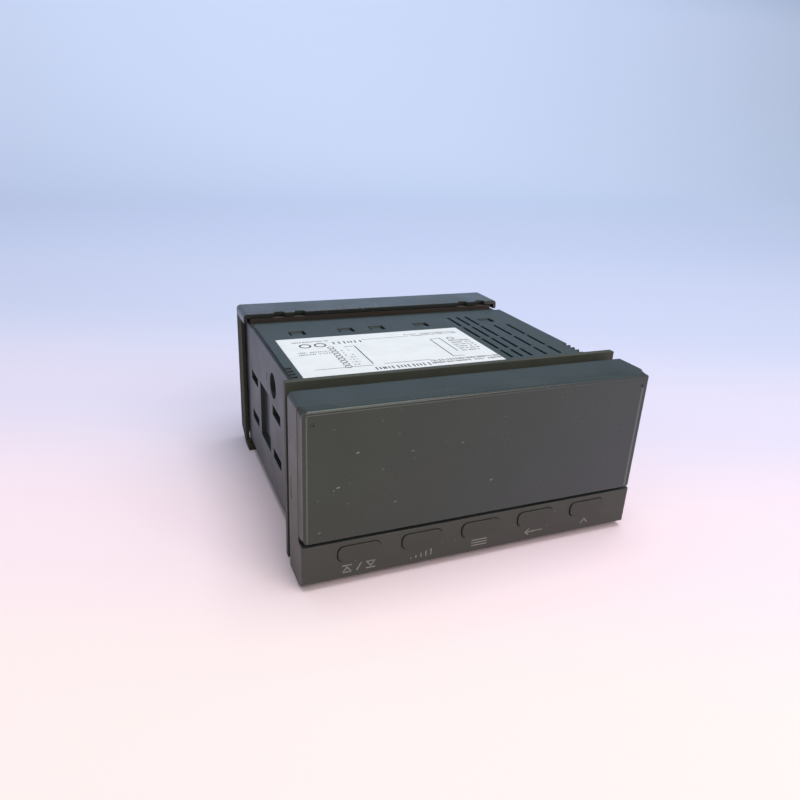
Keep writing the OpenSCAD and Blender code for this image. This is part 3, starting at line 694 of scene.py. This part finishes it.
CAP_W, CAP_H, CAP_R, CAP_EDGE, CAP_RISE = 11.0, 4.2, 1.55, 0.15, 0.35
CAP_RIGHT, CAP_UP = 0.06, 0.04
proud = front - CAP_RISE
caps = []
for name in KEYS:
    key_low, key_high = (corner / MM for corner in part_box(name))
    x = (key_low.x + key_high.x) / 2 + CAP_RIGHT
    z = (key_low.z + key_high.z) / 2 + CAP_UP
    # How far each outline is drawn in, and where it lies
    steps = [(0.0, key_low.y), (0.0, proud + CAP_EDGE)]
    for a in [math.radians(turn) for turn in (30, 60, 90)]:
        steps.append((CAP_EDGE * (1 - math.cos(a)), proud + CAP_EDGE * (1 - math.sin(a))))
    mesh = bmesh.new()
    loops = []
    for inset, y in steps:
        outline = rounded(x, z, CAP_W - 2 * inset, CAP_H - 2 * inset, CAP_R - inset)
        loops.append([mesh.verts.new(Vector((a, y, b)) * MM) for a, b in outline])
    for first, second in zip(loops, loops[1:]):
        for i in range(len(first)):
            j = (i + 1) % len(first)
            mesh.faces.new((first[i], first[j], second[j], second[i]))
    mesh.faces.new(loops[0])
    mesh.faces.new(loops[-1])
    cap_name, body = name.replace("_key", "_cap"), name.replace("_key", "_button")
    caps.append(piece_from(mesh, cap_name, key_silicone, body))
print("caps:", [made.name for made in caps])

# %% [markdown]
# The label carries rules, rings and rows of small print. The print says nothing: its marks are
# single strokes, pairs of strokes and dashes, which look like fine print from a normal distance.
# Rows of marks repeat, so a Geometry Nodes tree makes them: a grid of points, one mark picked at random
# for each point, some points left out as the gaps between words, and Realize Instances at the end,
# because the export needs plain mesh. Each block of print is one use of the same tree with other sizes.

# %% Marks of the print
def print_marks(tree, given):
    """The four marks as instances, picked by number: 0 a stroke, 1 a pair, 2 a dash, 3 a ring."""
    half = add(tree, "ShaderNodeMath", {0: given["Tall"], 1: 0.55}, operation="MULTIPLY")
    most = add(tree, "ShaderNodeMath", {0: given["Tall"], 1: 0.75}, operation="MULTIPLY")
    upright = add(tree, "ShaderNodeCombineXYZ", {
        "X": given["Line"], "Y": given["Tall"], "Z": given["Thickness"]})
    shorter = add(tree, "ShaderNodeCombineXYZ", {
        "X": given["Line"], "Y": most.outputs["Value"], "Z": given["Thickness"]})
    lying = add(tree, "ShaderNodeCombineXYZ", {
        "X": half.outputs["Value"], "Y": given["Line"], "Z": given["Thickness"]})
    line = add(tree, "GeometryNodeMeshCube", {"Size": upright.outputs["Vector"]})
    post = add(tree, "GeometryNodeMeshCube", {"Size": shorter.outputs["Vector"]})
    dash = add(tree, "GeometryNodeMeshCube", {"Size": lying.outputs["Vector"]})
    pair = add(tree, "GeometryNodeJoinGeometry")
    for share in (-0.22, 0.22):
        aside = add(tree, "ShaderNodeMath", {0: given["Tall"], 1: share}, operation="MULTIPLY")
        shift = add(tree, "ShaderNodeCombineXYZ", {"X": aside.outputs["Value"]})
        moved = add(tree, "GeometryNodeTransform", {
            "Geometry": post.outputs["Mesh"], "Translation": shift.outputs["Vector"]})
        tree.links.new(moved.outputs["Geometry"], pair.inputs["Geometry"])
    radius = add(tree, "ShaderNodeMath", {0: given["Tall"], 1: 0.4}, operation="MULTIPLY")
    circle = add(tree, "GeometryNodeCurvePrimitiveCircle", {
        "Resolution": 14, "Radius": radius.outputs["Value"]})
    section = add(tree, "GeometryNodeCurvePrimitiveQuadrilateral", {
        "Width": given["Line"], "Height": given["Thickness"]})
    ring = add(tree, "GeometryNodeCurveToMesh", {
        "Curve": circle.outputs["Curve"], "Profile Curve": section.outputs["Curve"]})
    marks = add(tree, "GeometryNodeJoinGeometry")
    # Join Geometry counts its instances from the last link to the first
    for mark in (ring.outputs["Mesh"], dash.outputs["Mesh"], pair.outputs["Geometry"], line.outputs["Mesh"]):
        single = add(tree, "GeometryNodeGeometryToInstance", {"Geometry": mark})
        tree.links.new(single.outputs["Instances"], marks.inputs["Geometry"])
    return marks.outputs["Geometry"]


STROKES, MIXED, RINGS = (0, 1), (0, 2), (3, 3)
print("kinds of mark:", {"strokes": STROKES, "mixed": MIXED, "rings": RINGS})

# %% [markdown]
# The tree itself takes its sizes from named inputs, so one tree serves eleven blocks of print.
# It could be drawn by hand in the node editor, but a script shows every link and can be run again.

# %% Tree for rows of print
def new_tree(name, inputs):
    """An empty Geometry Nodes tree with named inputs and one geometry output, and its given values."""
    tree = bpy.data.node_groups.new(name, "GeometryNodeTree")
    for label, kind, value in inputs:
        socket = tree.interface.new_socket(label, in_out="INPUT", socket_type=kind)
        socket.default_value = value
    tree.interface.new_socket("Geometry", in_out="OUTPUT", socket_type="NodeSocketGeometry")
    return tree, add(tree, "NodeGroupInput").outputs


def print_rows_tree(material):
    """Geometry Nodes tree for a block of print: rows and columns of strokes, pairs, dashes or rings."""
    tree, given = new_tree("print_rows", (
        ("Columns", "NodeSocketInt", 6), ("Rows", "NodeSocketInt", 3),
        ("Width", "NodeSocketFloat", 0.01), ("Depth", "NodeSocketFloat", 0.004),
        ("Tall", "NodeSocketFloat", 0.001), ("Line", "NodeSocketFloat", 0.0002),
        ("Thickness", "NodeSocketFloat", 0.00002), ("First mark", "NodeSocketInt", 0),
        ("Last mark", "NodeSocketInt", 2), ("Kept share", "NodeSocketFloat", 0.85),
        ("Seed", "NodeSocketInt", 1), ("Place", "NodeSocketVector", (0, 0, 0))))
    grid = add(tree, "GeometryNodeMeshGrid", {
        "Size X": given["Width"], "Size Y": given["Depth"],
        "Vertices X": given["Columns"], "Vertices Y": given["Rows"]})
    placed = add(tree, "GeometryNodeTransform", {
        "Geometry": grid.outputs["Mesh"], "Translation": given["Place"]})
    pick = add(tree, "FunctionNodeRandomValue", {
        4: given["First mark"], 5: given["Last mark"], "Seed": given["Seed"]}, data_type="INT")
    kept = add(tree, "FunctionNodeRandomValue", {
        "Probability": given["Kept share"], "Seed": given["Seed"]}, data_type="BOOLEAN")
    rows = add(tree, "GeometryNodeInstanceOnPoints", {
        "Points": placed.outputs["Geometry"], "Instance": print_marks(tree, given), "Pick Instance": True,
        "Instance Index": pick.outputs[2], "Selection": kept.outputs[3]})
    plain = add(tree, "GeometryNodeRealizeInstances", {"Geometry": rows.outputs["Instances"]})
    inked = add(tree, "GeometryNodeSetMaterial", {
        "Geometry": plain.outputs["Geometry"], "Material": material})
    add(tree, "NodeGroupOutput", {"Geometry": inked.outputs["Geometry"]})
    return tree


rows_tree = print_rows_tree(label_ink)
print("tree:", rows_tree.name, "with", len(rows_tree.nodes), "nodes")

# %% [markdown]
# A tree makes nothing until a modifier runs it. The modifier could stay on the piece, but the export
# needs plain mesh. So a helper runs the tree on an empty object, keeps the mesh that comes out
# and removes the object again. Each input is set by its socket's identifier, as Blender asks.

# %% Mesh from a tree
def evaluated_mesh(tree, name, inputs):
    """Runs a tree with the given inputs and returns the plain mesh that it makes."""
    holder = bpy.data.objects.new(name, bpy.data.meshes.new(name))
    bpy.context.scene.collection.objects.link(holder)
    modifier = holder.modifiers.new(name, "NODES")
    modifier.node_group = tree
    for item in tree.interface.items_tree:
        if item.in_out == "INPUT" and item.name in inputs:
            modifier[item.identifier] = inputs[item.name]
    depsgraph = bpy.context.evaluated_depsgraph_get()
    made = bpy.data.meshes.new_from_object(holder.evaluated_get(depsgraph), depsgraph=depsgraph)
    bpy.data.objects.remove(holder)
    return made


sockets = [item for item in rows_tree.interface.items_tree if item.in_out == "INPUT"]
print("inputs:", {item.name: item.identifier for item in sockets})

# %% [markdown]
# Now the label is laid out, as a printer would do it: each block has its place, its size and its marks,
# in mm from the label's front left corner. The long rules between them are slips.
# All of it becomes one piece, because it is one print on one label.

# %% Print on the label
label_low, label_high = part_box("top_label")
PRINT_LIFT, PRINT_THICK, RULE_THICK = 0.008, 0.02, 0.018
blocks = {
    # columns, rows, width, depth, height and line of a mark, x and y of the block's middle,
    # first and last kind of mark, share of marks kept, seed
    "rating_figures": (11, 1, 15.2, 0.0, 2.2, 0.4, 27.9, 2.3, STROKES, 1.0, 6),
    "rating_words": (25, 2, 20.4, 1.7, 1.35, 0.32, 47.2, 3.5, MIXED, 0.93, 5),
    "rear_words": (29, 2, 16.8, 1.35, 0.95, 0.2, 47.4, 28.1, MIXED, 0.93, 8),
    "rear_left_words": (19, 1, 10.2, 0.0, 0.95, 0.2, 9.3, 28.6, MIXED, 0.94, 13),
    "left_rings": (2, 1, 4.4, 0.0, 3.9, 0.5, 9.1, 25.0, RINGS, 1.0, 17),
    "left_bold": (6, 1, 8.2, 0.0, 2.0, 0.42, 19.7, 26.0, STROKES, 1.0, 19),
    "left_small": (13, 2, 8.4, 1.7, 1.0, 0.2, 7.8, 18.4, MIXED, 0.88, 21),
    "terminal_rings": (1, 9, 0.0, 16.4, 2.2, 0.26, 13.6, 13.8, RINGS, 1.0, 22),
    "terminal_words": (3, 8, 2.0, 14.0, 0.9, 0.2, 16.8, 13.8, MIXED, 0.7, 23),
    "right_ring": (1, 1, 0.0, 0.0, 2.6, 0.3, 51.4, 22.2, RINGS, 1.0, 27),
    "right_small": (9, 6, 6.0, 9.2, 1.0, 0.24, 53.0, 15.4, MIXED, 0.84, 11)}
mesh = bmesh.new()
for name, (columns, rows, width, depth, tall, line, x, y, kinds, kept, seed) in blocks.items():
    place = Vector((label_low.x + x * MM, label_low.y + y * MM, label_high.z + PRINT_LIFT * MM))
    mesh.from_mesh(evaluated_mesh(rows_tree, name, {
        "Columns": columns, "Rows": rows, "Width": width * MM, "Depth": depth * MM, "Tall": tall * MM,
        "Line": line * MM, "Thickness": PRINT_THICK * MM, "First mark": kinds[0], "Last mark": kinds[1],
        "Kept share": kept, "Seed": seed, "Place": place}))
rules = [bar(20.65, 14.1, 0.32, 16.0), bar(19.1, 22.1, 3.2, 0.22), bar(12.4, 5.1, 16.2, 0.2),
         bar(30.6, 5.5, 14.0, 0.2), bar(44.9, 14.5, 0.32, 15.8), bar(48.2, 16.9, 0.28, 12.6),
         bar(46.6, 22.8, 3.5, 0.22), bar(46.6, 6.6, 3.4, 0.22), bar(31.6, 27.3, 13.9, 0.18)]
corner = Vector((label_low.x, label_low.y, label_high.z)) / MM
for outline in rules:
    slip(mesh, outline, RIGHT, BACK, corner, RULE_THICK)
label_print = piece_from(mesh, "label_print", label_ink, "meter")
print("label print:", len(label_print.data.polygons), "faces")

# %% [markdown]
# Each terminal has a pan-head screw. The head could be a sphere cut flat, but a lathe profile follows
# its real curve, so one screw is turned from its profile: rings of points, joined by faces.

# %% One terminal screw
HEAD_D, HEAD_H, SHANK_D, SHANK_L, POINT = 5.6, 1.9, 3.0, 4.5, 0.3
TURNS = 32


def turned_blank():
    """The screw without its recess, its head towards +Y: rings of points from its top to the tip."""
    profile = [(0.0, HEAD_H), (0.9, 1.87), (1.7, 1.72), (2.3, 1.4), (2.65, 0.95), (HEAD_D / 2, 0.4),
               (HEAD_D / 2, 0.08), (2.72, 0.0), (SHANK_D / 2, 0.0), (SHANK_D / 2, POINT - SHANK_L),
               (SHANK_D / 2 - POINT, -SHANK_L), (0.0, -SHANK_L)]
    mesh = bmesh.new()
    angles = [2 * math.pi * k / TURNS for k in range(TURNS)]
    rings = []
    for radius, height in profile:
        around = angles if radius else angles[:1]
        rings.append([mesh.verts.new((radius * MM * math.cos(a), height * MM, radius * MM * math.sin(a)))
                      for a in around])
    for upper, lower in zip(rings, rings[1:]):
        for k in range(TURNS):
            j = (k + 1) % TURNS
            corners = [upper[k % len(upper)], upper[j % len(upper)],
                       lower[j % len(lower)], lower[k % len(lower)]]
            mesh.faces.new(list(dict.fromkeys(corners)))
    bmesh.ops.recalc_face_normals(mesh, faces=mesh.faces)
    return object_from(mesh, "screw_blank")


blank = turned_blank()
print("screw blank:", len(blank.data.polygons), "faces")

# %% [markdown]
# A cross recess is pressed into the head. Its faces could be modelled one by one, but a Boolean
# with two crossed wedges cuts it in one go, and its edges come out sharp, as they are on steel.

# %% Cross recess of the screw
CROSS_L, CROSS_W, CROSS_TAPER, CROSS_MID, CROSS_DEEP = 3.4, 0.85, 0.6, 1.75, 2.0


def cross_cutter():
    """Two crossed wedges that narrow towards the bottom of the recess."""
    mesh = bmesh.new()
    for wide, tall in ((CROSS_L, CROSS_W), (CROSS_W, CROSS_L)):
        for v in bmesh.ops.create_cube(mesh, size=1.0)["verts"]:
            narrow = CROSS_TAPER if v.co.y < 0 else 1.0
            deep = CROSS_MID + v.co.y * CROSS_DEEP
            v.co = Vector((v.co.x * wide * narrow, deep, v.co.z * tall * narrow)) * MM
    return object_from(mesh, "cross_cutter")


cross = cross_cutter()
cut = blank.modifiers.new("cross_recess", "BOOLEAN")
cut.object = cross
cut.solver = "EXACT"
cut.use_self = True
depsgraph = bpy.context.evaluated_depsgraph_get()
screw_mesh = bpy.data.meshes.new_from_object(blank.evaluated_get(depsgraph), depsgraph=depsgraph)
bpy.data.objects.remove(blank)
bpy.data.objects.remove(cross)
print("one screw:", len(screw_mesh.polygons), "faces")

# %% [markdown]
# Sixteen screws in two rows repeat. An Array modifier could repeat them too, but all would stand alike.
# So a second tree sets the one screw on every terminal, each turned by its own seeded angle,
# as a screwdriver leaves them.

# %% Tree for the rows of screws
def screw_rows_tree(pattern, material):
    """Geometry Nodes tree that sets one screw on each terminal of the two rows."""
    tree, given = new_tree("terminal_screws", (
        ("Per row", "NodeSocketInt", 8), ("Pitch", "NodeSocketFloat", 0.0102),
        ("Row gap", "NodeSocketFloat", 0.022), ("Seed", "NodeSocketInt", 4),
        ("Place", "NodeSocketVector", (0, 0, 0))))
    gaps = add(tree, "ShaderNodeMath", {0: given["Per row"], 1: 1.0}, operation="SUBTRACT")
    width = add(tree, "ShaderNodeMath", {
        0: gaps.outputs["Value"], 1: given["Pitch"]}, operation="MULTIPLY")
    grid = add(tree, "GeometryNodeMeshGrid", {
        "Size X": width.outputs["Value"], "Size Y": given["Row gap"],
        "Vertices X": given["Per row"], "Vertices Y": 2})
    upright = add(tree, "GeometryNodeTransform", {
        "Geometry": grid.outputs["Mesh"], "Rotation": (math.radians(90), 0.0, 0.0),
        "Translation": given["Place"]})
    angle = add(tree, "FunctionNodeRandomValue", {
        2: 0.0, 3: math.pi / 2, "Seed": given["Seed"]}, data_type="FLOAT")
    turn = add(tree, "ShaderNodeCombineXYZ", {"Y": angle.outputs[1]})
    screw = add(tree, "GeometryNodeObjectInfo", {"Object": pattern})
    rows = add(tree, "GeometryNodeInstanceOnPoints", {
        "Points": upright.outputs["Geometry"], "Instance": screw.outputs["Geometry"],
        "Rotation": turn.outputs["Vector"]})
    plain = add(tree, "GeometryNodeRealizeInstances", {"Geometry": rows.outputs["Instances"]})
    plated = add(tree, "GeometryNodeSetMaterial", {
        "Geometry": plain.outputs["Geometry"], "Material": material})
    add(tree, "NodeGroupOutput", {"Geometry": plated.outputs["Geometry"]})
    return tree


screw_pattern = bpy.data.objects.new("screw_pattern", screw_mesh)
screw_tree = screw_rows_tree(screw_pattern, zinc_steel)
print("tree:", screw_tree.name, "with", len(screw_tree.nodes), "nodes")

# %% [markdown]
# The CAD model has plain screws. Their places could be typed in again, but their box already gives
# the pitch of the terminals and the gap between the rows.
# So the turned screws land where the plain ones are, and they replace them.

# %% A screw on every terminal
PER_ROW, SCREW_SEED = 8, 4
low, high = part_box("terminal_screws")
screws = evaluated_mesh(screw_tree, "screw_heads", {
    "Per row": PER_ROW, "Pitch": (high.x - low.x - HEAD_D * MM) / (PER_ROW - 1),
    "Row gap": high.z - low.z - HEAD_D * MM, "Seed": SCREW_SEED,
    "Place": Vector(((low.x + high.x) / 2, high.y - HEAD_H * MM, (low.z + high.z) / 2))})
bpy.data.objects.remove(screw_pattern)
mesh = bmesh.new()
mesh.from_mesh(screws)
screw_heads = piece_from(mesh, "screw_heads", zinc_steel, "meter")
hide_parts("terminal_screws")
print("screws:", len(screw_heads.data.polygons), "faces")

# %% [markdown]
# The set is a sweep of matt paper. One colour would do for the background, but the dark plastic mirrors
# the set and would look flat: its front face mirrors the floor, and its top faces mirror the wall.
# So colour painted on the paper stands in for the set's coloured light: a warm white pool in front of the
# meter; along a line from front left to back right it cools to a pale blue and far off turns pale again; and
# high up a painted falloff turns it to a dull teal.

# %% Paper of the sweep, with painted light
def sweep_paper_painted_light():
    """Matt paper whose colour paints the set's light: it follows the depth of the set and then its height.
    """
    material, tree = new_material("paper_sweep_painted_light")
    spot = add(tree, "ShaderNodeTexCoord").outputs["Object"]
    place = add(tree, "ShaderNodeSeparateXYZ", {"Vector": spot})
    inward = add(tree, "ShaderNodeVectorMath", {0: spot, 1: (0.39, 0.92, 0.0)}, operation="DOT_PRODUCT")
    depth = add(tree, "ShaderNodeMapRange", {
        "Value": inward.outputs["Value"], "From Min": -0.1, "From Max": 1.2})
    tone = add(tree, "ShaderNodeValToRGB", {"Fac": depth.outputs["Result"]})
    ramp = tone.color_ramp
    ramp.interpolation = "EASE"
    ramp.elements[0].color = linear("#fff0ef")
    ramp.elements[1].color = linear("#d8e5ff")
    for position, colour in ((0.05, "#fde9f3"), (0.12, "#e5dff4"), (0.23, "#cfd6f1"), (0.42, "#ccd5f2")):
        ramp.elements.new(position).color = linear(colour)
    height = add(tree, "ShaderNodeMapRange", {
        "Value": place.outputs["Z"], "From Min": 0.36, "From Max": 0.75}, interpolation_type="SMOOTHSTEP")
    shaded = add(tree, "ShaderNodeMix", {
        0: height.outputs["Result"], 6: tone.outputs["Color"], 7: linear("#3f7f8f")}, data_type="RGBA")
    shader = add(tree, "ShaderNodeBsdfDiffuse", {"Color": shaded.outputs[2]})
    add(tree, "ShaderNodeOutputMaterial", {"Surface": shader.outputs["BSDF"]})
    return material


paper = sweep_paper_painted_light()
print("paper:", paper.name, "with", len(paper.node_tree.nodes), "nodes")

# %% [markdown]
# The floor curves up into a wall with no line between them.
# Two planes would show a seam behind the meter, so it is one sheet drawn along an outline.

# %% Floor and backdrop
# Sizes of the set in metres.
FLOOR_FRONT, FLOOR_BACK, BEND_R, WALL_TOP, HALF_WIDE = -1.6, 0.75, 0.6, 2.2, 2.4
outline = [(FLOOR_FRONT, 0.0), (FLOOR_BACK, 0.0)]
for a in [math.radians(6 * k) for k in range(1, 16)]:
    outline.append((FLOOR_BACK + BEND_R * math.sin(a), BEND_R - BEND_R * math.cos(a)))
outline.append((FLOOR_BACK + BEND_R, WALL_TOP))
mesh = bmesh.new()
left, right = [[mesh.verts.new((x, y, z)) for y, z in outline] for x in (-HALF_WIDE, HALF_WIDE)]
for i in range(len(outline) - 1):
    mesh.faces.new((left[i], right[i], right[i + 1], left[i + 1])).smooth = True
sweep = object_from(mesh, "sweep")
sweep.data.materials.append(paper)
print("sweep:", len(sweep.data.polygons), "faces")

# %% [markdown]
# The light is soft: a pale world, a softbox overhead, a warmer one in front and a wide one on the backdrop.
# A single lamp would leave the dark plastic without shape. Together these light a white surface
# to about white, so each colour shows as it is written.
# Where the camera looks past the sweep, it sees a paler haze than the one that lights the meter.

# %% Light
world = bpy.data.worlds.new("pale_room")
bpy.context.scene.world = world
world.use_nodes = True
tree = world.node_tree
tree.nodes.clear()
room = add(tree, "ShaderNodeBackground", {"Color": linear("#f0f1f1"), "Strength": 0.48})
haze = add(tree, "ShaderNodeBackground", {"Color": linear("#e3e7f1"), "Strength": 1.0})
seen = add(tree, "ShaderNodeLightPath")
both = add(tree, "ShaderNodeMixShader", {
    0: seen.outputs["Is Camera Ray"], 1: room.outputs["Background"], 2: haze.outputs["Background"]})
add(tree, "ShaderNodeOutputWorld", {"Surface": both.outputs["Shader"]})


def softbox(name, place, aim, wide, tall, power, colour):
    """Area light that looks at a point."""
    lamp = bpy.data.lights.new(name, "AREA")
    lamp.shape = "RECTANGLE"
    lamp.size, lamp.size_y = wide, tall
    lamp.energy = power
    lamp.color = linear(colour)[:3]
    made = bpy.data.objects.new(name, lamp)
    made.location = place
    made.rotation_euler = (Vector(aim) - Vector(place)).to_track_quat("-Z", "Y").to_euler()
    bpy.context.scene.collection.objects.link(made)


softbox("overhead", (0.12, -0.1, 0.95), (0.12, -0.1, 0), 0.6, 0.7, 5.2, "#fbfdff")
softbox("front_fill", (0.35, -0.9, 0.75), (0, 0, 0.02), 0.8, 0.6, 5.0, "#fff3ea")
softbox("backdrop_wash", (0.5, 0.45, 0.95), (0.5, 1.35, 0.35), 2.6, 0.4, 6.2, "#f4f8ff")
bpy.context.scene.view_settings.view_transform = "Standard"

# %% [markdown]
# The camera stands in front of the meter, to its left and above it, and is rolled a little.
# Its place was found by fitting the edges of the 96 by 48 mm front to the picture, so it is given as
# angles, a point to aim at and a focal length in pixels. A Track To constraint would leave out the roll.

# %% Camera
PICTURE_PX, FOCAL_PX, SENSOR_MM = 800, 675.94, 36.0
azimuth, elevation, roll = math.radians(-23.2), math.radians(22.24), math.radians(2.84)
aim = Vector((-9.41, -10.67, 32.19)) * MM
distance = 195.99 * MM
flat = math.cos(elevation)
back = Vector((math.sin(azimuth) * flat, -math.cos(azimuth) * flat, math.sin(elevation)))
level = (-back).cross(UP).normalized()
above = level.cross(-back)
tilted_right = level * math.cos(roll) + above * math.sin(roll)
tilted_up = above * math.cos(roll) - level * math.sin(roll)
lens = bpy.data.cameras.new("camera")
lens.sensor_width = SENSOR_MM
lens.lens = SENSOR_MM * FOCAL_PX / PICTURE_PX
lens.clip_start, lens.clip_end = 0.01, 20.0
camera = bpy.data.objects.new("camera", lens)
turned = Matrix((tilted_right, tilted_up, back)).transposed().to_4x4()
camera.matrix_world = Matrix.Translation(aim + back * distance) @ turned
bpy.context.scene.collection.objects.link(camera)
bpy.context.scene.camera = camera
print("camera at mm:", [round(c / MM, 1) for c in camera.matrix_world.translation])
print("lens in mm:", round(lens.lens, 2))
